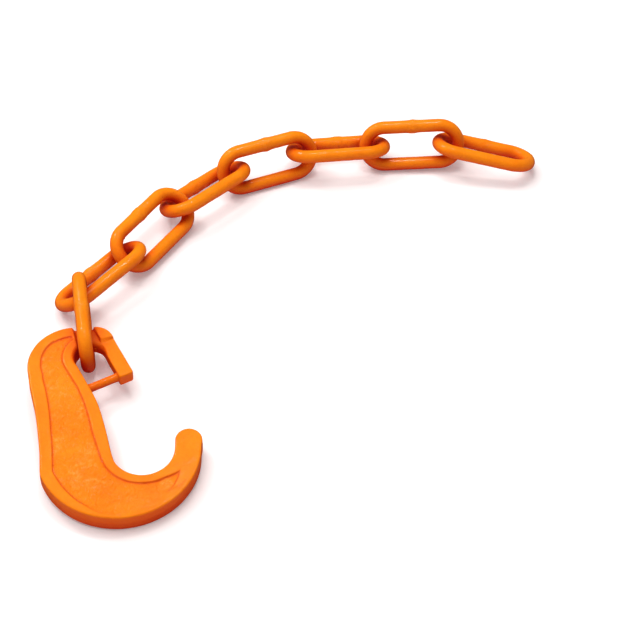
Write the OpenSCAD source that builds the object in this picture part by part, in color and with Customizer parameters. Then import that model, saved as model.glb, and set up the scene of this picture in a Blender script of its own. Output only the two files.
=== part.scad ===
// Safety chain hook: a drop-forged slip hook with a closed eye gate and a
// tail of eight welded long links, lying on the ground.
//
// Ground frame: the origin is the centre of the hook's throat circle, halfway
// through its thickness. +Z is up from the ground, and +Y runs from the
// throat towards the eye (the load line). The hook lies almost flat: its
// eye is propped up on the lower leg of the first link, so the whole
// forging leans back by hook_tilt about the throat's X axis.
//
// Hook frame: the same origin before that lean, with the hook's faces at
// z = -hook_t / 2 and z = hook_t / 2. The shank is on the -X side of the
// eye, and the arm on the +X side.

/* [Hook body] */
// Thickness of the forging between its two flat faces
hook_t = 14.6; // [13:0.1:15]
// Radius of the throat seat
throat_r = 21; // [20:0.2:21.2]
// Radius of the outer bowl curve
bowl_r = 55.1; // [54.7:0.1:56]
// Radius of the rounded nose
nose_r = 9.4; // [9:0.1:9.8]
// Radius of the head's outer curve
head_r = 32.2; // [31.6:0.1:33]
// Sideways shift of the hook's waist, outwards
waist_shift = 0; // [-1:0.5:3]
// Width of the edge break around both faces
edge_break = 1.4; // [0.8:0.2:2]
// Depth of the shallow panel in each face
panel_depth = 0.9; // [0.4:0.1:1.5]
// Width of the raised rim around the panel
rim_w = 8; // [7:0.2:9.6]

/* [Eye and gate] */
// Half width of the eye slot
eye_r = 10.9; // [10.6:0.1:11.2]
// Distance from the throat centre to the centre of the eye's top curve
eye_y = 85.5; // [85.2:0.1:86.2]
// Distance from the throat centre to the end of the arm
arm_end_y = 60.7; // [60:0.1:61]
// Outer side of the arm, from the load line
arm_x = 21.2; // [20.6:0.1:22]
// Thickness of the neck that the first link rides on
neck_t = 10.4; // [9:0.2:12]
// Thickness of the arm below its shoulder
arm_t = 10.4; // [9:0.2:12]
// Diameter of the retaining pin
pin_d = 6; // [5.4:0.1:6.2]
// Distance from the throat centre to the retaining pin
pin_y = 65.1; // [64.9:0.1:66]
// Depth of the blind pin hole in the shank
pin_seat = 9; // [6:1:14]

/* [Chain] */
// Diameter of the chain wire
wire_d = 10; // [9.5:0.1:10]
// Inside length of one link, which is the chain's pitch
pitch = 62.8; // [62.2:0.1:63.4]
// Inside width of one link
inner_w = 20; // [19.8:0.1:20.4]
// How far the butt weld stands proud of the wire
weld_proud = 0.5; // [0:0.1:0.6]
// Length of the weld swelling along the wire
weld_len = 9; // [6:1:12]

/* [Lay of the chain] */
// Backward lean of the hook, propped on the first link
hook_tilt = 4.6; // [4.5:0.05:4.7]
// Distance from the throat centre to the wire when drawn up in the eye
seat_y = 88.6; // [88.3:0.1:88.9]
// Rise of the first link's middle above the hook's middle, in the eye
seat_rise = 1.4; // [1.2:0.1:1.7]

/* [Hidden] */
$fn = 96;

paint = [0.96, 0.50, 0.06];
paint_dark = [0.88, 0.40, 0.05];

// ---- hook outline
nose_centre = [30, -8.2];
bowl_centre = [-14.1, 7.4];
head_centre = [-12.7, 84.5];
shoulder_r = 13.7;         // outer curve where the arm meets the head
shoulder_y = 95.6;
arm_outer_corner_r = 2;
arm_inner_corner_r = 1;
throat_stock = 0.3;        // left in the outline for the throat cut

// outer side of the waist, downwards: [x, y]; the upper points shift
waist_upper = [[-46.5, 84], [-48.8, 74], [-51, 64.5], [-53.6, 55.2], [-56.9, 45]];
waist_lower = [[-59.6, 36.8], [-62.4, 28.7], [-65.6, 20.8]];
// inner side of the shank, upwards: [x, y]
shank_inner = [[-20.2, 5], [-18.6, 12], [-16.4, 21], [-14.2, 31],
               [-12.4, 40.5], [-11.2, 50]];
// point between the nose and the throat
nose_inner = [20.1, -7];

// ---- thinned areas
neck_base_y = eye_y + 4;
neck_top_y = 125;                     // clear of the head
neck_base_x = -5.5;                   // shank side, at its base
neck_top_x = 1.8;                     // shank side, at its top
neck_arm_x = 12.2;                    // arm side
arm_area_corner = [5, 40];            // lower corner nearest the shank
arm_area_w = 30;
arm_area_top_y = eye_y + 12;
arm_scoop_centre = [15.2, eye_y + 14.3];
arm_scoop_r = 7.2;

// ---- panel
panel_corner_r = 3;                   // offset that cleans its corners
panel_head_corner = [-4, 60];         // nothing above and beyond this
panel_head_cut = [60, 80];
panel_bowl_corner = [20, -60];        // foot of the slanting end in the bowl
panel_bowl_angle = 20;
panel_bowl_cut = [60, 60];

// ---- countersinks and pin
countersink_z = 0.8;                  // small end, from the middle plane
countersink_small_r = 5.6;
countersink_large_r = 13.3;
countersink_h = 7;
pin_hole_overrun = 5;                 // hole runs past the arm
pin_recess = 0.3;                     // pin stops short of the arm's side

// ---- link
bow_r = (inner_w + wire_d) / 2;       // centre line of a bow
leg = pitch - inner_w;                // straight length of a leg
link_span = pitch + wire_d;           // between the wire centres of its bows
weld_sink = 0.02;                     // ends of the weld dip into the wire
weld_steps = 8;

// Each link lies in its own direction. Heading is measured from +X towards
// +Y, lift is the rise of its far end, lean turns its flat side up from
// the ground, slack is the gap to the link before, and shift moves the
// point where it bears around that link's bow, in degrees. For the first
// link, slack and shift place its wire in the eye: down and across, in mm.
//      heading lift  lean   slack shift
lay = [[ 70.5,  2.2,  90,    2.6,  -2.2],
       [ 19.8,  3,   -32.8,  6.4, -31.5],
       [ 27.1,  0.9,  38.2,  4.1,   1.7],
       [ 15.1, -1.4, -28.5,  4.1,   5.6],
       [ -7.2,  0,    66,    6.8,  -7.5],
       [-22.5, -0.6, -24.4,  5.1,   7.5],
       [-27.8,  2.7,  65,    4.5,   1.8],
       [-38.1, -8.4, -22.3,  5.6,   2.6]];

// ---- Hook

// points on a circle, from one angle to another
function arc(centre, radius, from, to, steps) =
    [for (i = [0:steps]) let (angle = from + (to - from) * i / steps)
        [centre[0] + radius * cos(angle), centre[1] + radius * sin(angle)]];

// anticlockwise from the arm's outer corner
outline = concat(
    arc([arm_x - arm_outer_corner_r, arm_end_y + arm_outer_corner_r],
        arm_outer_corner_r, -90, 0, 3),
    arc([arm_x - shoulder_r, shoulder_y], shoulder_r, 0, 66, 7),
    arc(head_centre, head_r, 64, 171, 15),
    [for (point = waist_upper) [point[0] - waist_shift, point[1]]],
    waist_lower,
    arc(bowl_centre, bowl_r, 175, 334, 26),
    arc(nose_centre, nose_r, -26, 148, 11),
    [nose_inner],
    arc([0, 0], throat_r - throat_stock, -31, -180, 16),
    shank_inner,
    arc([0, eye_y], eye_r, 180, 0, 14),
    arc([eye_r + arm_inner_corner_r, arm_end_y + arm_inner_corner_r],
        arm_inner_corner_r, 180, 270, 2));

module outline_2d(inset)
    offset(delta = -inset) polygon(outline);

// Stacked slabs that break both edges: [depth below each face, inset]
module forging_blank()
    for (slab = [[0, edge_break],
                 [edge_break * 0.3, edge_break * 0.45],
                 [edge_break, 0]])
        translate([0, 0, slab[0] - hook_t / 2])
            linear_extrude(hook_t - 2 * slab[0]) outline_2d(slab[1]);

// area of the neck, between the head and the shoulder of the arm
module neck_2d()
    polygon([[neck_base_x, neck_base_y], [neck_top_x, neck_top_y],
             [neck_arm_x, neck_top_y], [neck_arm_x, neck_base_y]]);

// area of the arm, below the concave end of its shoulder
module arm_2d() difference() {
    translate(arm_area_corner)
        square([arm_area_w, arm_area_top_y - arm_area_corner[1]]);
    translate(arm_scoop_centre) circle(r = arm_scoop_r);
}

// the outline less its rim, without the arm side of the head or the nose
module panel_2d()
    offset(delta = panel_corner_r, $fn = 24) offset(delta = -panel_corner_r)
        difference() {
            outline_2d(rim_w);
            translate(panel_head_corner) square(panel_head_cut);
            translate(panel_bowl_corner) rotate(panel_bowl_angle)
                square(panel_bowl_cut);
        }

// lays a part of the hook on the ground
module hook_pose() rotate([hook_tilt, 0, 0]) children();

module both_faces() for (side = [0, 1]) mirror([0, 0, side]) children();

// a cut that thins both faces down to a thickness over an area
module thin(thickness) both_faces()
    translate([0, 0, thickness / 2]) linear_extrude(hook_t) children();

// a bar from the blind end of the pin hole across to end_x
module pin_bar(end_x)
    translate([-eye_r - pin_seat, pin_y, 0]) rotate([0, 90, 0])
        cylinder(d = pin_d, h = eye_r + pin_seat + end_x);

module hook_body() color(paint) hook_pose() difference() {
    forging_blank();
    // throat seat
    translate([0, 0, -hook_t]) cylinder(r = throat_r, h = 2 * hook_t);
    thin(neck_t) neck_2d();
    thin(arm_t) arm_2d();
    thin(hook_t - 2 * panel_depth) panel_2d();
    // eye countersinks where the link's bow bears
    translate([0, seat_y, 0]) both_faces()
        translate([0, 0, countersink_z])
            cylinder(r1 = countersink_small_r, r2 = countersink_large_r,
                     h = countersink_h);
    // pin hole: through the arm and blind into the shank
    pin_bar(arm_x + pin_hole_overrun);
}

module retaining_pin() color(paint_dark) hook_pose()
    pin_bar(arm_x - pin_recess);

// ---- Chain

// a low swelling around the wire, centred, along X
module weld() rotate([0, 90, 0]) rotate_extrude()
    polygon(concat(
        [[0, -weld_len / 2]],
        [for (i = [0:weld_steps]) let (along_weld = -1 + 2 * i / weld_steps)
            [wire_d / 2 + weld_proud * (1 - along_weld * along_weld) - weld_sink,
             along_weld * weld_len / 2]],
        [[0, weld_len / 2]]));

// one link, long axis on X, flat in XY, centred
module link() {
    for (turn = [0, 180]) rotate(turn) translate([leg / 2, 0, 0])
        rotate([0, 0, -90]) rotate_extrude(angle = 180)
            translate([bow_r, 0]) circle(d = wire_d);
    for (side = [-1, 1]) translate([-leg / 2, side * bow_r, 0])
        rotate([0, 90, 0]) cylinder(d = wire_d, h = leg);
    // butt weld in the middle of one leg
    if (weld_proud > 0) translate([0, bow_r, 0]) weld();
}

// columns of the lay table, for link k counted from 0
function heading(k) = lay[k][0];
function lift(k) = lay[k][1];
function lean(k) = lay[k][2];
function slack(k) = lay[k][3];
function shift(k) = lay[k][4];

// unit vectors along a link, and across it in its own plane
function along(k) =
    [cos(heading(k)) * cos(lift(k)), sin(heading(k)) * cos(lift(k)), sin(lift(k))];
function across(k) =
    [-sin(heading(k)) * cos(lean(k)) - cos(heading(k)) * sin(lift(k)) * sin(lean(k)),
     cos(heading(k)) * cos(lean(k)) - sin(heading(k)) * sin(lift(k)) * sin(lean(k)),
     cos(lift(k)) * sin(lean(k))];

// direction from a link's far bow centre to where the next link bears:
// where the bow faces that link, moved around by the next link's shift
function bearing(k) =
    let (angle = atan2(along(k + 1) * across(k), along(k + 1) * along(k))
                 + shift(k + 1))
    cos(angle) * along(k) + sin(angle) * across(k);

// wire centre of the first link's near bow, in the eye of the leaning hook
first_y = seat_y - slack(0);
first_bow = [shift(0),
             first_y * cos(hook_tilt) - seat_rise * sin(hook_tilt),
             first_y * sin(hook_tilt) + seat_rise * cos(hook_tilt)];

// wire centre of a link's near bow
function near_bow(k) = k == 0
    ? first_bow
    : near_bow(k - 1) + (link_span - bow_r) * along(k - 1)
      + bow_r * bearing(k - 1) - (wire_d + slack(k)) * along(k);

module laid_link(k) translate(near_bow(k) + link_span / 2 * along(k))
    rotate([0, 0, heading(k)]) rotate([0, -lift(k), 0])
        rotate([lean(k), 0, 0]) link();

module chain_link_1() color(paint) laid_link(0);
module chain_link_2() color(paint) laid_link(1);
module chain_link_3() color(paint) laid_link(2);
module chain_link_4() color(paint) laid_link(3);
module chain_link_5() color(paint) laid_link(4);
module chain_link_6() color(paint) laid_link(5);
module chain_link_7() color(paint) laid_link(6);
module chain_link_8() color(paint) laid_link(7);

hook_body();
retaining_pin();
chain_link_1();
chain_link_2();
chain_link_3();
chain_link_4();
chain_link_5();
chain_link_6();
chain_link_7();
chain_link_8();
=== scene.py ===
"""A forged lifting hook with eight chain links and a retaining pin, in thick orange enamel.

Sizes are millimetres in the row frame; meshes are written in metres. The origin is the centre
of the hook's throat, +Z is up. In the hook's own frame the forging is flat in XY: the eye and
head towards +Y, the bowl towards -Y, the shank on the -X side, the arm and nose on the +X side.
The hook leans about X, head end up, and the chain runs on from the eye.
"""
import itertools
import math
import bpy
import numpy as np
from mathutils import Matrix, Vector


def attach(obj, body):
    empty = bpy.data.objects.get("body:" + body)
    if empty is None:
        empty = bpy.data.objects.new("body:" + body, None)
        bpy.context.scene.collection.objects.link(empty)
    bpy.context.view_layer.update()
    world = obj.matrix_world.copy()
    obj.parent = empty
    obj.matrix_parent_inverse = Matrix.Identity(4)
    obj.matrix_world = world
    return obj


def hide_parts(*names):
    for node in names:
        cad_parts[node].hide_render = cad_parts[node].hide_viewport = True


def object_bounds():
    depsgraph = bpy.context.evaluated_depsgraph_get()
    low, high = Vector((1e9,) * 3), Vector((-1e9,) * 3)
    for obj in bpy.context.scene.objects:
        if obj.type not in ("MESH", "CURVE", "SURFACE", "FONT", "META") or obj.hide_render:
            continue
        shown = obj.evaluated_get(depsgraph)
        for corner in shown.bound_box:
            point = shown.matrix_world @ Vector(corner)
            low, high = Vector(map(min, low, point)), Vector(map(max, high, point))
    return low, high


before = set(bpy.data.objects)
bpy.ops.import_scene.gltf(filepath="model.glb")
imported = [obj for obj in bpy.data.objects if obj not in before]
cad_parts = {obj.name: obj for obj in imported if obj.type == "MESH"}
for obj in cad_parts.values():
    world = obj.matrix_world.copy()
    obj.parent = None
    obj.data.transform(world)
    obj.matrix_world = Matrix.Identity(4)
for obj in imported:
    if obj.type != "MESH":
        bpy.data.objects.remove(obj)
CAD_BOX = [[float(c) for c in corner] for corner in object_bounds()]

# ------------------------------------------------------------------ sizes
THICKNESS = 14.6
HALF = THICKNESS / 2
TILT = math.radians(4.6)        # lean of the hook about X
THROAT_R = 21.0
EYE_R, EYE_Y = 10.9, 85.5
ARM_X, ARM_END = 21.6, 60.7     # the arm's outer side and its lower end
ARM_ROUND = 2                   # outer corner of the arm's end
ARM_INNER_ROUND = 1
SHOULDER_R, SHOULDER_Y = 13.7, 95.6
HEAD_CENTRE, HEAD_R = (-12.7, 84.5), 32.2
BOWL_CENTRE, BOWL_R = (-14.1, 7.4), 55.1
NOSE_CENTRE, NOSE_R = (30, -8.2), 9.4
NECK_HALF = 5.2                 # half thickness at the neck and the arm
PAINT = 0.03                    # round bars are drawn this much under size

PIN_R, PIN_Y = 3.0, 65.1
PIN_SEAT = 9.0                  # depth of the blind hole in the shank
PIN_END_X = 20.95

WIRE, PITCH, INNER_WIDTH = 10.0, 62.8, 20.0
BOW_R = (INNER_WIDTH + WIRE) / 2    # bows and legs are measured on the wire's centre line
LEG = PITCH - INNER_WIDTH
LINK_LENGTH = PITCH + WIRE

# The first link's near end, in the hook's frame
SEAT_X, SEAT_Y, SEAT_RISE = -2.2, 88.6, 1.4
# heading, lift and roll in degrees; slack to the piece before in mm; swing in degrees round
# the bow of the link before (the first link has none)
LINK_LAY = [
    (70.5, 2.2, 90, 2.6, None),
    (19.8, 3, -32.8, 6.4, -31.5),
    (27.1, 0.9, 38.2, 4.1, 1.7),
    (15.1, -1.4, -28.5, 4.1, 5.6),
    (-7.2, 0, 66, 6.8, -7.5),
    (-22.5, -0.6, -24.4, 5.1, 7.5),
    (-27.8, 2.7, 65, 4.5, 1.8),
    (-38.1, -8.4, -22.3, 5.6, 2.6),
]
BOWL_DROP = (BOWL_R - BOWL_CENTRE[1]) * math.sin(TILT)
GROUND = -(BOWL_DROP + HALF * math.cos(TILT))


# ------------------------------------------------------------------ curves and noise
def smooth(start, end, x):
    """Smoothstep from 0 at start to 1 at end; start may be the larger."""
    t = np.clip((x - start) / (end - start), 0.0, 1.0)
    return t * t * (3 - 2 * t)


def bell(x, width, centre=0.0):
    return np.exp(-((x - centre) / width) ** 2)


class Lattice:
    """Smooth value noise on a repeating lattice, the same on every run."""

    def __init__(self, seed, size=32):
        values = np.random.RandomState(seed).rand(size, size, size)
        self.values = values.astype(np.float32) * 2 - 1
        self.size = size

    def __call__(self, points, scale):
        # the shift keeps the working coordinates positive and off the lattice points
        place = np.asarray(points, np.float32) / scale + 100.37
        cell = np.floor(place).astype(np.int64)
        part = (place - cell).astype(np.float32)
        part = part * part * (3 - 2 * part)
        out = np.zeros(place.shape[:-1], np.float32)
        for corner in itertools.product((0, 1), repeat=3):
            wx, wy, wz = (part[..., m] if corner[m] else 1 - part[..., m] for m in range(3))
            x, y, z = ((cell[..., m] + corner[m]) % self.size for m in range(3))
            out += wx * wy * wz * self.values[x, y, z]
        return out


noise_a, noise_b, noise_c = Lattice(11), Lattice(23), Lattice(37)


def fractal(lattice, points, scale, octaves=3):
    out = 0
    strength, total = 1.0, 0.0
    for _ in range(octaves):
        out = out + strength * lattice(points, scale)
        total += strength
        strength *= 0.5
        scale *= 0.5
    return out / total


# ------------------------------------------------------------------ hook outline
def arc(centre, radius, start, end, steps):
    a = np.radians(np.linspace(start, end, steps + 1))
    return np.stack([centre[0] + radius * np.cos(a), centre[1] + radius * np.sin(a)], 1)


def spline(points, steps):
    """Catmull-Rom through the points; the first and last only set the end tangents."""
    points = np.asarray(points, float)
    out = []
    for k in range(1, len(points) - 2):
        a, b, c, d = points[k - 1:k + 3]
        for i in range(steps):
            t = i / steps
            out.append(0.5 * (2 * b + (c - a) * t + (2 * a - 5 * b + 4 * c - d) * t * t
                              + (3 * b - a - 3 * c + d) * t ** 3))
    return np.array(out)


# x, y down the outer side of the shank, and up its inner side
WAIST_POINTS = [(-46.5, 84), (-48.8, 74), (-51, 64.5), (-53.6, 55.2), (-56.9, 45),
                (-59.6, 36.8), (-62.4, 28.7), (-65.6, 20.8)]
SHANK_POINTS = [(-20.2, 5), (-18.6, 12), (-16.4, 21), (-14.2, 31), (-12.4, 40.5),
                (-11.2, 50), (-10.9, 60), (-10.9, 70)]
# x, y between the arm's shoulder and the head
CROWN_POINTS = [(14.6, 107.3), (13.6, 107.9), (8.0, 110.9)]


def hook_outline():
    """The plan of the forging, counterclockwise from the arm's outer corner."""
    head = arc(HEAD_CENTRE, HEAD_R, 64, 171, 56)
    bowl = arc(BOWL_CENTRE, BOWL_R, 175, 334, 96)
    nose = arc(NOSE_CENTRE, NOSE_R, -26, 148, 44)
    throat = arc((0, 0), THROAT_R, -31, -178, 80)
    return np.concatenate([
        arc((ARM_X - ARM_ROUND, ARM_END + ARM_ROUND), ARM_ROUND, -90, 0, 10),
        arc((ARM_X - SHOULDER_R, SHOULDER_Y), SHOULDER_R, 0, 62, 30),
        spline([*CROWN_POINTS, head[0], head[3]], 6),
        head[:-1],
        spline([head[-3], head[-1], *WAIST_POINTS, bowl[0], bowl[2]], 6),
        bowl,
        spline([bowl[-3], bowl[-1], nose[0], nose[2]], 4),
        nose,
        spline([nose[-3], nose[-1], (20.4, -6.4), throat[0], throat[3]], 6),
        throat[:-1],
        spline([throat[-4], throat[-1], *SHANK_POINTS], 6),
        arc((0, EYE_Y), EYE_R, 180, 0, 60),
        arc((EYE_R + ARM_INNER_ROUND, ARM_END + ARM_INNER_ROUND), ARM_INNER_ROUND, 180, 270, 6),
    ])


def outline_distance(x, y, polygon):
    """Signed distance to a closed polygon, negative inside, on arrays of points."""
    following = np.roll(polygon, -1, axis=0)
    keep = np.hypot(*(following - polygon).T) > 1e-6
    best = np.full(x.shape, 1e9, np.float32)
    inside = np.zeros(x.shape, bool)
    for (ax, ay), (bx, by) in zip(polygon[keep], following[keep]):
        ex, ey = bx - ax, by - ay
        wx, wy = x - ax, y - ay
        t = np.clip((wx * ex + wy * ey) / (ex * ex + ey * ey), 0, 1)
        np.minimum(best, (wx - ex * t) ** 2 + (wy - ey * t) ** 2, out=best)
        if ay != by:
            spans = (ay > y) != (by > y)
            inside ^= spans & (x < (bx - ax) * (y - ay) / (by - ay) + ax)
    best = np.sqrt(best)
    return np.where(inside, -best, best)


# ------------------------------------------------------------------ meshes
def surface_nets(field, origin, step):
    """A closed quad mesh on the zero level of field, one vertex in each crossed cell."""
    nx, ny, nz = field.shape
    solid = field < 0
    corners = list(itertools.product((0, 1), repeat=3))
    count = sum(solid[i:nx - 1 + i, j:ny - 1 + j, k:nz - 1 + k].astype(np.int8)
                for i, j, k in corners)
    crossed = (count > 0) & (count < 8)
    cells = np.argwhere(crossed)
    index = np.full(crossed.shape, -1, np.int64)
    index[crossed] = np.arange(len(cells))

    # each vertex is the mean of the crossings on its cell's twelve edges
    total = np.zeros((len(cells), 3))
    hits = np.zeros(len(cells))
    for p, q in itertools.combinations(corners, 2):
        if sum(abs(p[m] - q[m]) for m in range(3)) != 1:
            continue
        at_p = field[tuple((cells + p).T)]
        at_q = field[tuple((cells + q).T)]
        cross = (at_p < 0) != (at_q < 0)
        t = at_p / np.where(cross, at_p - at_q, 1)
        for m in range(3):
            total[:, m] += np.where(cross, p[m] + t * (q[m] - p[m]), 0)
        hits += cross
    verts = (cells + total / hits[:, None]) * step + origin

    # one quad round each grid edge that crosses the surface
    quads = []
    for axis in range(3):
        m1, m2 = [m for m in range(3) if m != axis]
        low = [slice(None)] * 3
        high = [slice(None)] * 3
        low[axis], high[axis] = slice(0, -1), slice(1, None)
        start, end = solid[tuple(low)], solid[tuple(high)]
        edges = np.argwhere(start != end)
        edges = edges[(edges[:, m1] > 0) & (edges[:, m2] > 0)
                      & (edges[:, m1] < field.shape[m1] - 1)
                      & (edges[:, m2] < field.shape[m2] - 1)]

        def cell_at(back1, back2):
            cell = edges.copy()
            cell[:, m1] -= back1
            cell[:, m2] -= back2
            return index[tuple(cell.T)]

        quad = np.stack([cell_at(1, 1), cell_at(0, 1), cell_at(0, 0), cell_at(1, 0)], 1)
        reverse = start[tuple(edges.T)]
        if axis != 1:
            reverse = ~reverse
        quad[reverse] = quad[reverse][:, ::-1]
        quads.append(quad)
    return verts, np.concatenate(quads)


def tube(centre, normal, radius, closed):
    """A swept round bar. centre and normal are (n, 3); radius is (n, around)."""
    n, around = radius.shape
    if closed:
        tangent = np.roll(centre, -1, 0) - np.roll(centre, 1, 0)
    else:
        tangent = np.gradient(centre, axis=0)
    tangent /= np.linalg.norm(tangent, axis=1)[:, None]
    side = np.cross(tangent, normal)
    side /= np.linalg.norm(side, axis=1)[:, None]
    a = angles(around)
    ring = np.cos(a)[None, :, None] * side[:, None] + np.sin(a)[None, :, None] * normal[:, None]
    verts = (centre[:, None] + ring * radius[:, :, None]).reshape(-1, 3)
    i, j = np.meshgrid(np.arange(n if closed else n - 1), np.arange(around), indexing="ij")
    i2, j2 = (i + 1) % n, (j + 1) % around
    faces = np.stack([i * around + j, i * around + j2, i2 * around + j2, i2 * around + j], -1)
    return verts, faces.reshape(-1, 4)


def angles(around):
    return np.linspace(0, 2 * math.pi, around, endpoint=False)


def make_mesh(name, verts, quads, panel, crease):
    """A smooth-shaded object with the two attributes the enamel reads."""
    mesh = bpy.data.meshes.new(name)
    count = len(quads)
    mesh.vertices.add(len(verts))
    coords = (np.asarray(verts, np.float64) / 1000).astype(np.float32)
    mesh.vertices.foreach_set("co", coords.ravel())
    mesh.loops.add(count * 4)
    mesh.loops.foreach_set("vertex_index", np.asarray(quads, np.int32).ravel())
    mesh.polygons.add(count)
    mesh.polygons.foreach_set("loop_start", np.arange(0, count * 4, 4, dtype=np.int32))
    mesh.polygons.foreach_set("loop_total", np.full(count, 4, np.int32))
    mesh.polygons.foreach_set("use_smooth", np.full(count, True))
    mesh.update(calc_edges=True)
    mesh.validate()
    for key, values in (("panel", panel), ("crease", crease)):
        layer = mesh.attributes.new(key, "FLOAT", "POINT")
        layer.data.foreach_set("value", np.asarray(values, np.float32))
    return link_object(name, mesh)


def link_object(name, data):
    made = bpy.data.objects.new(name, data)
    bpy.context.scene.collection.objects.link(made)
    return made


def inside_box(verts):
    """Trim the last hundredths where surface roughness would leave the CAD box."""
    low, high = (np.array(c) * 1000 for c in CAD_BOX)
    return np.clip(verts, low + 0.02, high - 0.02)


def to_row(verts):
    """Hook frame to row frame: the hook leans about the throat's X axis."""
    c, s = math.cos(TILT), math.sin(TILT)
    out = np.array(verts, float)
    y, z = out[:, 1].copy(), out[:, 2].copy()
    out[:, 1] = y * c - z * s
    out[:, 2] = y * s + z * c
    return out


# ------------------------------------------------------------------ hook
BOWL_TOP = 12       # the bowl's own shaping applies below this y
# middle of the section beside the shank: y, x
MIDLINE = ([-60, 0, 20, 50, 85, 100, 120],
           [-45, -45, -41, -33, -28.5, -22, -10])
# width of the rim along the outer side: y, width
RIM_OUTER = ([-44, -34, -24, -9, 3, 30, 75, 97, 110, 118],
             [2.4, 3.2, 6.0, 8.0, 8.7, 8.8, 10.2, 9.2, 7.4, 7.0])
# along the inner side: angle about the throat below y = 0, then y above it
RIM_THROAT = ([180, 215, 247, 277, 290, 305],
              [7.2, 6.8, 6.5, 7.0, 9.0, 11.0])
RIM_SHANK = ([0, 14, 28, 48, 65, 85, 95],
             [7.2, 8.2, 9.2, 8.7, 7.4, 8.2, 8.2])
PANEL_DEPTH, THROAT_EXTRA, GROOVE_DEPTH, BEAD_HEIGHT = 0.95, 0.25, 0.30, 0.12
FACE_SKIN = 2.4     # the shading attributes reach this far below the faces


def hook_height(x, y, distance):
    """Half thickness, edge radius, panel mask and groove mask over the plan."""
    angle = np.degrees(np.arctan2(y, x)) % 360
    r = np.hypot(x, y)
    in_bowl = y < BOWL_TOP

    # the rim round the shallow panel: wide beside the waist, running out under the bowl
    outer = np.where((y < 0) & (angle > 180), r > 38.5, x < np.interp(y, *MIDLINE))
    rim_inner = np.where(y < 0, np.interp(angle, *RIM_THROAT), np.interp(y, *RIM_SHANK))
    past_rim = distance + np.where(outer, np.interp(y, *RIM_OUTER), rim_inner)

    # the panel leaves out the arm and the nose, and its floor climbs outward in the bowl
    left_of_arm = smooth(-3.2, -4.8, x - np.where(y > 60, 0, 1e3))
    into_bowl = smooth(205, 262, angle) * in_bowl
    climb = 1 - into_bowl * smooth(0, 24, r - 29)
    fade = 1 - smooth(288, 308, np.where(in_bowl, angle, 0))
    fade = fade * np.where(in_bowl & (angle < 90), 0, 1)
    extent = left_of_arm * climb * fade
    panel = smooth(0.75, -0.75, past_rim) * extent
    h = HALF - (PANEL_DEPTH + THROAT_EXTRA * bell(r, 3.0, centre=29.5) * into_bowl) * panel

    # a fine groove along the foot of the rim, and a soft bead where the panel meets it
    # the same mask later places the painted shade in the groove
    crease = bell(past_rim, 0.55, centre=-0.25) * extent
    crease = crease * np.where(outer & in_bowl, 1 - smooth(196, 220, angle), 1)
    h = h - GROOVE_DEPTH * crease
    h = h + BEAD_HEIGHT * bell(past_rim, 1.1, centre=1.0) * extent

    # neck under the first link, with a slanting left edge
    neck = smooth(-6.4, -4.6, x + (y - 89.5) * -0.2056)
    neck = neck * smooth(12.9, 11.5, x) * smooth(85.5, 90.5, y)
    # arm below its shoulder: a ramp that is long at the eye and short outside
    ramp_foot = 93.4 - 0.7 * (1 - ((x - 16) / 6.5) ** 2).clip(0, 1)
    ramp_top = 98.0 - 0.36 * (x - 12)
    ramp = np.clip((y - ramp_foot) / np.maximum(ramp_top - ramp_foot, 0.8), 0, 1)
    arm = smooth(5.0, 7.0, x) * (1 - ramp) * (y < 101)
    arm = np.where(y > 50, arm, 0)
    low = np.maximum(neck, arm * smooth(0, 1, arm * 1.4))
    h = h * (1 - low) + NECK_HALF * low

    # edges are rounded more at the neck, and at the eye where the link bears
    edge = 1.3 + 2.6 * neck - 0.1 * arm
    eye = bell(np.hypot(x, y - SEAT_Y), 4.0, centre=10.5) * smooth(79.5, 85.5, y)
    edge = edge + 1.6 * eye * (1 - neck)
    return h, np.minimum(edge, h - 0.2), panel, crease


def forged_faces(X, Y, flat, panel):
    """Relief of the upper and lower faces: pebbled in patches on the panel, and pitted."""
    patch = np.clip(0.5 + 1.4 * noise_c(flat + 200, 19), 0.15, 1.2)
    rough = 0.09 + 0.42 * panel * patch
    upper = fractal(noise_b, flat + 7, 5.5) * rough + 0.07 * fractal(noise_a, flat - 31, 16, 2)
    lower = fractal(noise_c, flat - 3, 5.5) * rough + 0.07 * fractal(noise_a, flat + 53, 16, 2)
    rs = np.random.RandomState(5)
    for _ in range(170):
        cx, cy = rs.uniform(-66, 14), rs.uniform(-42, 106)
        size, depth = rs.uniform(0.45, 1.0), rs.uniform(0.10, 0.34)
        dent = depth * np.exp(-((X - cx) ** 2 + (Y - cy) ** 2) / size ** 2)
        dent = dent * (0.25 + 0.75 * panel)
        if rs.rand() < 0.35:
            dent = -0.6 * dent      # a pimple instead
        if rs.rand() < 0.5:
            upper = upper - dent
        else:
            lower = lower - dent
    return upper, lower


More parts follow.
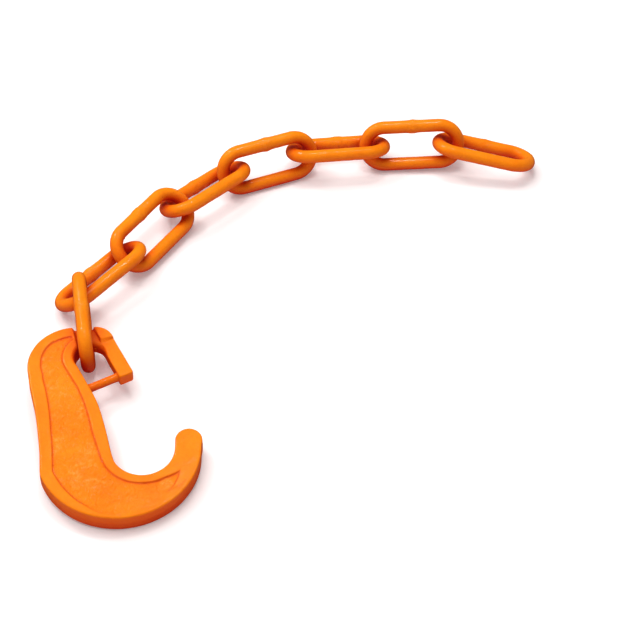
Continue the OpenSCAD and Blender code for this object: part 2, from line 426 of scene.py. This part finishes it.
def build_hook(step):
    low = np.array([-70.8, -49.3, -HALF - 1.3])
    high = np.array([41.0, 118.3, HALF + 1.3])
    count = np.ceil((high - low) / step).astype(int) + 1
    grid_x, grid_y, grid_z = (low[m] + np.arange(count[m]) * step for m in range(3))
    X, Y = np.meshgrid(grid_x.astype(np.float32), grid_y.astype(np.float32), indexing="ij")
    distance = outline_distance(X, Y, hook_outline().astype(np.float32))
    h, edge, panel, crease = hook_height(X, Y, distance)
    flat = np.stack([X, Y, np.zeros_like(X)], -1)
    wave = 0.16 * fractal(noise_a, flat, 26, 2)     # slow waves in the hand-dressed outline
    upper, lower = forged_faces(X, Y, flat, panel)

    # a rounded slab, layer by layer; the lower edges are sharper
    field = np.empty(tuple(count), np.float32)
    for k, z in enumerate(grid_z):
        round_r = edge if z > 0 else edge * 0.75
        draft = 0.02 * abs(z) + 0.06 * (1 - bell(z, 0.7)) + 0.03
        face = upper if z > 0 else lower
        qx = distance + draft + wave * 0.5 + round_r
        qz = abs(z) - (h + face * 0.9 - 0.04) + round_r
        field[:, :, k] = (np.hypot(np.maximum(qx, 0), np.maximum(qz, 0))
                          + np.minimum(np.maximum(qx, qz), 0) - round_r)

    # light hammering all over the skin
    X3, Y3, Z3 = X[:, :, None], Y[:, :, None], grid_z.astype(np.float32)[None, None, :]
    points = np.stack(np.broadcast_arrays(X3, Y3, Z3), -1)
    near = np.abs(field) < 1.6
    field[near] += 0.07 * fractal(noise_c, points[near] + 17, 7, 2)

    # pin hole, through the arm and blind into the shank
    hole = np.hypot(Y3 - PIN_Y, Z3) - PIN_R - 0.02
    hole = np.maximum(hole, -(X3 + EYE_R + PIN_SEAT))
    field = np.maximum(field, -hole)
    verts, quads = surface_nets(field, low, step)

    # plan masks carried to the vertices near the faces
    ix = (verts[:, 0] - low[0]) / step
    iy = (verts[:, 1] - low[1]) / step
    i = np.clip(ix.astype(int), 0, count[0] - 2)
    j = np.clip(iy.astype(int), 0, count[1] - 2)
    fx, fy = ix - i, iy - j
    on_face = np.abs(verts[:, 2]) > HALF - FACE_SKIN

    def sample(plan):
        return ((plan[i, j] * (1 - fx) + plan[i + 1, j] * fx) * (1 - fy)
                + (plan[i, j + 1] * (1 - fx) + plan[i + 1, j + 1] * fx) * fy) * on_face

    return make_mesh("hook_forging", inside_box(to_row(verts)), quads,
                     sample(panel), sample(crease))


# ------------------------------------------------------------------ chain
def link_axes(heading, lift, roll):
    """Unit vectors along a link, across it and normal to its plane."""
    h, l, r = (math.radians(v) for v in (heading, lift, roll))
    along = np.array([math.cos(h) * math.cos(l), math.sin(h) * math.cos(l), math.sin(l)])
    across = np.array([
        -math.sin(h) * math.cos(r) - math.cos(h) * math.sin(l) * math.sin(r),
        math.cos(h) * math.cos(r) - math.sin(h) * math.sin(l) * math.sin(r),
        math.cos(l) * math.sin(r)])
    return along, across, np.cross(along, across)


def lay_chain():
    """Centre and axes of each link, every one hung in the far bow of the one before."""
    places = []
    for heading, lift, roll, slack, swing in LINK_LAY:
        along, across, normal = link_axes(heading, lift, roll)
        if not places:
            near = to_row([[SEAT_X, SEAT_Y - slack, SEAT_RISE]])[0]
        else:
            t = math.atan2(along @ last_across, along @ last_along) + math.radians(swing)
            contact = math.cos(t) * last_along + math.sin(t) * last_across
            near = (near + (LINK_LENGTH - BOW_R) * last_along + BOW_R * contact
                    - (WIRE + slack) * along)
        places.append((near + LINK_LENGTH / 2 * along, along, across, normal))
        last_along, last_across = along, across
    return places


def link_centreline(s):
    """x, y on the wire's centre line at arc length s: leg, bow, leg, bow."""
    half = LEG + math.pi * BOW_R
    first = s < half
    sign = np.where(first, 1, -1)
    run = np.where(first, s, s - half)
    turn = np.maximum(run - LEG, 0) / BOW_R
    x = sign * (-LEG / 2 + np.minimum(run, LEG) + BOW_R * np.sin(turn))
    return x, sign * BOW_R * np.cos(turn)


def build_link(number, centre, along, across, normal):
    rs = np.random.RandomState(99 + number)
    total = 2 * LEG + 2 * math.pi * BOW_R
    n, around = ((300, 64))
    s = np.arange(n) * total / n
    a = angles(around)
    x, y = link_centreline(s)
    wire_r = WIRE / 2
    radius = np.full((n, around), wire_r - PAINT)

    # uneven skin; each link reads its own part of the noise
    points = np.stack(np.broadcast_arrays(
        np.cos(a)[None, :] * wire_r + x[:, None],
        np.sin(a)[None, :] * wire_r + y[:, None],
        s[:, None] * 0.05 + np.cos(a)[None, :] * wire_r), -1) + 40 * (number - 1)
    radius += 0.10 * fractal(noise_a, points, 9) + 0.05 * fractal(noise_c, points, 2.4, 2)

    # butt weld: a swollen collar in the middle of one leg, with a ragged trimmed fin
    from_weld = s - LEG / 2 + rs.uniform(-1.2, 1.2)
    swell = 0.5 + 0.18 * np.cos(a - rs.uniform(0, 6))
    collar = bell(from_weld, 3.4)[:, None] * swell[None, :]
    rs.uniform(0, 2 * math.pi)      # a spare draw that keeps the later ones in place
    fin = 0.28 * bell(from_weld[:, None] - 0.5 * np.sin(a * 2 + 1)[None, :], 0.8)
    fin = fin * (0.4 + 0.6 * (noise_b(points, 3.0) > -0.25))
    radius += np.minimum(collar + fin * 0.7, 0.5)
    radius += bell(from_weld, 5.0)[:, None] * 0.1 * fractal(noise_c, points, 3, 2)

    # the wire flattens a little round the bows
    bowness = np.clip((np.abs(x) - LEG / 2) / BOW_R, 0, 1)
    radius -= (0.12 * bowness)[:, None] * (np.cos(a) ** 2)[None, :]

    # runs and pimples of paint
    for _ in range(16):
        at_s, at_a = s[rs.randint(n)], rs.uniform(0, 2 * math.pi)
        size, height = rs.uniform(0.45, 1.1), rs.uniform(0.12, 0.32)
        ds = (s - at_s + total / 2) % total - total / 2
        da = (a - at_a + math.pi) % (2 * math.pi) - math.pi
        radius += height * np.exp(-((ds[:, None] / (size * rs.uniform(1, 1.8))) ** 2
                                    + (da[None, :] * wire_r / size) ** 2))

    path = centre + x[:, None] * along + y[:, None] * across
    verts, faces = tube(path, np.broadcast_to(normal, (n, 3)), radius, closed=True)
    # the weld zone goes in as the panel mask, so it takes the panel's lumps and its painted
    # highlights
    weld = np.repeat(bell(from_weld, 6.0), around)
    return make_mesh("chain_link_%d_wire" % number, inside_box(verts), faces,
                     weld * 0.6, np.zeros(len(weld)))


# ------------------------------------------------------------------ pin
# rings that close each end of the pin: share of the end's radius, outward offset
CAP_RINGS = [(0.8, 0.06), (0.6, 0.02), (0.4, -0.08), (0.2, -0.12)]


def cap_pin(verts, faces, base, around, outward):
    """Close the ring of vertices at base; outward is the sign of the end's X direction."""
    rim = verts[base:base + around]
    axis = np.array([rim[0, 0], PIN_Y, 0])
    previous = np.arange(base, base + around)
    faces = [faces]
    for share, offset in CAP_RINGS:
        points = axis + (rim - axis) * share
        points[:, 0] = rim[:, 0] + outward * offset
        ring = len(verts) + np.arange(around)
        verts = np.vstack([verts, points])
        band = [previous, np.roll(previous, -1), np.roll(ring, -1), ring]
        faces.append(np.stack(band, 1)[:, ::outward])
        previous = ring
    # strips across the last ring
    j = np.arange(around // 2 - 1)
    strips = [previous[j], previous[j + 1], previous[-j - 1], previous[-j]]
    faces.append(np.stack(strips, 1)[:, ::outward])
    return verts, np.concatenate(faces)


def build_pin():
    # stations are closer together near the forging, on both sides of the eye
    xs = np.unique(np.concatenate([np.linspace(-EYE_R - PIN_SEAT + 0.05, PIN_END_X, 110),
                                   np.linspace(-EYE_R, -EYE_R + 2.4, 16),
                                   np.linspace(EYE_R - 2.4, EYE_R, 16)]))
    around = 48
    a = angles(around)
    radius = np.full((len(xs), around), PIN_R - PAINT)
    points = np.stack(np.broadcast_arrays(
        xs[:, None], np.cos(a)[None] * 2.5, np.sin(a)[None] * 2.5), -1)
    free = smooth(-EYE_R - 0.2, -EYE_R + 0.6, xs) * smooth(EYE_R + 0.2, EYE_R - 0.6, xs)
    radius += free[:, None] * 0.09 * fractal(noise_b, points, 4, 2)
    # paint pooled where the pin meets the forging
    for edge_x, sign in ((-EYE_R, 1), (EYE_R, -1)):
        d = (xs - edge_x) * sign
        pool = 0.75 * np.exp(-np.clip(d, 0, None) / 0.75) * (d > -0.6)
        radius += pool[:, None] * (0.75 + 0.25 * np.sin(a)[None, :])
    # both ends narrow
    radius[-1] -= 0.5
    radius[-2] -= 0.15
    radius[0] -= 0.6

    centre = np.stack([xs, np.full_like(xs, PIN_Y), np.zeros_like(xs)], 1)
    normal = np.broadcast_to(np.array([0, 0, 1.0]), (len(xs), 3))
    verts, faces = tube(centre, normal, radius, closed=False)
    for base, outward in ((0, -1), ((len(xs) - 1) * around, 1)):
        verts, faces = cap_pin(verts, faces, base, around, outward)
    blank = np.zeros(len(verts))
    return make_mesh("retaining_pin_bar", to_row(verts), faces, blank, blank)


# ------------------------------------------------------------------ materials
class Shader:
    """Short ways to add nodes; noise_scale multiplies the scale of every noise."""

    def __init__(self, name, noise_scale):
        self.material = bpy.data.materials.new(name)
        self.material.use_nodes = True
        self.tree = self.material.node_tree
        self.bsdf = self.tree.nodes["Principled BSDF"]
        self.coords = self.add("TexCoord")
        self.noise_scale = noise_scale

    def add(self, kind):
        return self.tree.nodes.new("ShaderNode" + kind)

    def put(self, socket, value):
        """Set a number or an RGB colour, or link an output."""
        if isinstance(value, (int, float)):
            socket.default_value = value
        elif isinstance(value, tuple):
            socket.default_value = (*value, 1)
        else:
            self.tree.links.new(value, socket)

    def noise(self, scale, detail=4, roughness=0.55, distortion=0.0):
        node = self.add("TexNoise")
        for key, value in (("Scale", scale * self.noise_scale), ("Detail", detail),
                           ("Roughness", roughness), ("Distortion", distortion),
                           ("Vector", self.coords.outputs["Object"])):
            self.put(node.inputs[key], value)
        return node.outputs["Fac"]

    def ramp(self, source, low, high, start=0, end=1):
        """Grey from start at low to end at high."""
        node = self.add("ValToRGB")
        stops = ((low, start), (high, end))
        for element, (place, grey) in zip(node.color_ramp.elements, stops):
            element.position = place
            element.color = (grey, grey, grey, 1)
        self.put(node.inputs["Fac"], source)
        return node.outputs["Color"]

    def mix(self, factor, a, b):
        node = self.add("Mix")
        node.data_type = "RGBA"
        for i, value in ((0, factor), (6, a), (7, b)):
            self.put(node.inputs[i], value)
        return node.outputs[2]

    def math(self, operation, a, b, clamp=False):
        node = self.add("Math")
        node.operation = operation
        node.use_clamp = clamp
        self.put(node.inputs[0], a)
        self.put(node.inputs[1], b)
        return node.outputs[0]

    def times(self, a, b, clamp=False):
        return self.math("MULTIPLY", a, b, clamp)

    def attribute(self, name):
        node = self.add("Attribute")
        node.attribute_name = name
        return node.outputs["Fac"]


# lighter colour of the painted highlights on the panel
PANEL_HIGHLIGHT_COLOUR = (1.0, 0.40, 0.07)
# darkest red of the painted shade in pockets
POCKET_SHADE_COLOUR = (0.56, 0.011, 0.002)


def enamel(name, base, deep, bright, noise_scale, gloss):
    """Thick gloss enamel: orange peel, thin edges, painted shade in corners and on sides,
    painted highlights.
    """
    sh = Shader(name, noise_scale)
    # slow colour drift where the coat is thicker or thinner
    drift = sh.ramp(sh.noise(38, detail=3), low=0.30, high=0.70)
    colour = sh.mix(drift, base, bright)
    # fine mottling
    fine = sh.ramp(sh.noise(420, detail=3), low=0.35, high=0.75)
    colour = sh.mix(sh.times(fine, 0.16), colour, deep)
    # painted highlights: lighter patches on the high spots of the panel's rough floor
    panel = sh.attribute("panel")
    patchy = sh.ramp(sh.noise(55, roughness=0.65), low=0.52, high=0.66)
    grain = sh.ramp(sh.noise(330, detail=3, roughness=0.6), low=0.44, high=0.62)
    panel_highlight = sh.times(sh.times(patchy, grain), sh.times(panel, 0.65))
    colour = sh.mix(panel_highlight, colour, PANEL_HIGHLIGHT_COLOUR)
    # painted shade: the sides are mixed toward the deeper, redder colour, darker than the upper
    # faces
    geometry = sh.add("NewGeometry")
    normal = sh.add("SeparateXYZ")
    sh.put(normal.inputs["Vector"], geometry.outputs["Normal"])
    side_shade = sh.math("SUBTRACT", 0.80, normal.outputs["Z"], clamp=True)
    colour = sh.mix(sh.times(side_shade, 0.62, clamp=True), colour, deep)
    # painted shade in the groove as well
    crease = sh.attribute("crease")
    colour = sh.mix(sh.times(crease, 0.75, clamp=True), colour, deep)
    # painted shade: ambient occlusion mixes corners and crevices toward a deeper red
    ao = sh.add("AmbientOcclusion")
    ao.samples = 6
    ao.inputs["Distance"].default_value = 0.022
    occlusion_shade = sh.math("SUBTRACT", 1.0, ao.outputs["AO"], clamp=True)
    occlusion_shade = sh.times(sh.math("POWER", occlusion_shade, 0.9), 1.25, clamp=True)
    colour = sh.mix(sh.times(occlusion_shade, 1.0, clamp=True), colour, deep)
    pocket_shade = sh.times(sh.math("SUBTRACT", occlusion_shade, 0.42, clamp=True), 2.0, clamp=True)
    colour = sh.mix(pocket_shade, colour, POCKET_SHADE_COLOUR)
    # convex edges: the coat draws thin and looks a little paler
    edge = sh.ramp(geometry.outputs["Pointiness"], low=0.505, high=0.56)
    edge = sh.times(edge, sh.times(sh.noise(160), 0.5))
    colour = sh.mix(edge, colour, bright)
    # few tiny dark specks: pinholes and dust
    specks = sh.ramp(sh.noise(900, detail=1), low=0.745, high=0.775)
    colour = sh.mix(sh.times(specks, 0.5), colour, tuple(c * 0.35 for c in deep))
    # gloss varies
    roughness = sh.ramp(sh.noise(90), low=0.3, high=0.75, start=0.36, end=0.54)
    for key, value in (("Base Color", colour), ("Roughness", roughness), ("IOR", 1.5),
                       ("Specular IOR Level", 0.09), ("Coat Weight", gloss),
                       ("Coat Roughness", 0.07)):
        sh.put(sh.bsdf.inputs[key], value)
    # relief: orange peel, and lumps that are stronger on the forged floor
    peel = sh.noise(520, detail=2)
    lumps = sh.noise(210, roughness=0.6, distortion=0.4)
    lump_height = sh.math("ADD", sh.times(panel, 2.6), 0.42)
    height = sh.math("ADD", sh.times(peel, 0.06), sh.times(lumps, lump_height))
    for key, distance in (("Normal", 0.0009), ("Coat Normal", 0.0008)):
        bump = sh.add("Bump")
        bump.inputs["Strength"].default_value = 0.75
        bump.inputs["Distance"].default_value = distance
        sh.put(bump.inputs["Height"], height)
        sh.put(sh.bsdf.inputs[key], bump.outputs["Normal"])
    return sh.material


def floor_paper():
    material = bpy.data.materials.new("floor_paper")
    material.use_nodes = True
    tree = material.node_tree
    bsdf = tree.nodes["Principled BSDF"]
    for key, value in (("Base Color", (0.93, 0.905, 0.90, 1)), ("Roughness", 0.85),
                       # back-lit paper: lifts the shadows to a faint pink
                       ("Emission Color", (1, 0.94, 0.93, 1)), ("Emission Strength", 0.16),
                       ("Specular IOR Level", 0.1)):
        bsdf.inputs[key].default_value = value
    # seen from below the paper is clear, so the underside can be looked at
    geometry = tree.nodes.new("ShaderNodeNewGeometry")
    clear = tree.nodes.new("ShaderNodeBsdfTransparent")
    pick = tree.nodes.new("ShaderNodeMixShader")
    tree.links.new(geometry.outputs["Backfacing"], pick.inputs[0])
    tree.links.new(bsdf.outputs[0], pick.inputs[1])
    tree.links.new(clear.outputs[0], pick.inputs[2])
    tree.links.new(pick.outputs[0], tree.nodes["Material Output"].inputs["Surface"])
    return material


hook_paint = enamel("hook_enamel", base=(0.95, 0.205, 0.003), deep=(0.72, 0.042, 0.002),
                    bright=(1.0, 0.265, 0.006), noise_scale=1.0, gloss=0.28)
chain_paint = enamel("chain_enamel", base=(0.95, 0.225, 0.003), deep=(0.66, 0.034, 0.002),
                     bright=(1.0, 0.285, 0.006), noise_scale=1.3, gloss=0.6)
pin_paint = enamel("pin_enamel", base=(0.93, 0.165, 0.003), deep=(0.58, 0.026, 0.002),
                   bright=(0.98, 0.23, 0.006), noise_scale=1.5, gloss=0.6)


# ------------------------------------------------------------------ pieces
def place(piece, material, rides, replaces, slot):
    piece.data.materials.append(material)
    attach(piece, rides)
    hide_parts(replaces)


place(build_hook(step=0.5), hook_paint, "hook", "hook_body", "hook_paint")
place(build_pin(), pin_paint, "hook", "retaining_pin", "pin_paint")
for number, where in enumerate(lay_chain(), 1):
    place(build_link(number, *where), chain_paint,
          "link_%d" % number, "chain_link_%d" % number, "chain_paint")

# ------------------------------------------------------------------ floor
FLOOR_HALF = 7.0                        # metres
FLOOR_Z = GROUND / 1000 - 0.0002        # metres, just clear of the bowl

floor_mesh = bpy.data.meshes.new("floor")
floor_mesh.from_pydata([(x * FLOOR_HALF, y * FLOOR_HALF, FLOOR_Z)
                        for x, y in ((-1, -1), (1, -1), (1, 1), (-1, 1))], [], [(0, 1, 2, 3)])
floor = link_object("floor", floor_mesh)
floor.data.materials.append(floor_paper())
floor.visible_glossy = False

# ------------------------------------------------------------------ camera
# Studio frame, mm: the camera looks at its origin on the ground, and it is turned about Z
STUDIO_TURN = math.radians(29.0)
THROAT_X, THROAT_Y = -118.6, -129.5     # the hook's lower face under the throat
CAMERA_RISE, CAMERA_DISTANCE = math.radians(48), 1200.0
CAMERA_LENS, CAMERA_SENSOR = 92.8125, 36

c, s = math.cos(STUDIO_TURN), math.sin(STUDIO_TURN)
TURN = np.array([[c, -s, 0], [s, c, 0], [0, 0, 1]])
ROW_ORIGIN = np.array([THROAT_X, THROAT_Y, BOWL_DROP]) + TURN @ to_row([[0, 0, HALF]])[0]


def from_studio(point):
    """A point in the studio frame, mm, to the row frame, metres."""
    return Vector((TURN.T @ (np.asarray(point, float) - ROW_ORIGIN)) / 1000)


camera_data = bpy.data.cameras.new("camera")
camera_data.sensor_width = CAMERA_SENSOR
camera_data.lens = CAMERA_LENS
camera_data.clip_end = 50
camera = link_object("camera", camera_data)
backward = np.array([0, -math.cos(CAMERA_RISE), math.sin(CAMERA_RISE)])
right = TURN.T @ np.array([1, 0, 0])
back = TURN.T @ backward
pose = Matrix(np.stack([right, np.cross(back, right), back], 1).tolist()).to_4x4()
pose.translation = from_studio(backward * CAMERA_DISTANCE)
camera.matrix_world = pose
bpy.context.scene.camera = camera


# ------------------------------------------------------------------ light
def area(name, place, target, size, power, colour=(1, 1, 1)):
    """An area light; place and target in the studio frame, size in metres, power in watts."""
    data = bpy.data.lights.new(name, "AREA")
    data.shape = "RECTANGLE"
    data.size, data.size_y = size
    data.energy = power
    data.color = colour
    light = link_object(name, data)
    light.location = from_studio(place)
    aim = from_studio(target) - light.location
    light.rotation_euler = aim.to_track_quat("-Z", "Y").to_euler()
    return light


# the broad soft box is kept out of reflections; two smaller ones make the glints
GLINT_COLOUR = (1, 0.98, 0.96)
key_light = area("key", place=(-380, 260, 1500), target=(-40, 0, 0), size=(1.7, 1.5), power=22)
key_light.visible_glossy = False
area("glint", place=(-760, 560, 1050), target=(-60, 0, 0), size=(0.26, 0.20), power=3.0,
     colour=GLINT_COLOUR)
area("glint_top", place=(60, 420, 1450), target=(-20, 0, 0), size=(0.20, 0.14), power=2.6,
     colour=GLINT_COLOUR)

world = bpy.data.worlds.new("studio")
bpy.context.scene.world = world
world.use_nodes = True
background = world.node_tree.nodes["Background"]
background.inputs["Color"].default_value = (1, 0.99, 0.99, 1)
background.inputs["Strength"].default_value = 0.38
# the studio walls, like the paper, stay out of reflections, so the paint keeps its colour
world.cycles_visibility.glossy = False
view = bpy.context.scene.view_settings
view.view_transform = "Standard"
view.look = "None"
view.exposure = 0.0
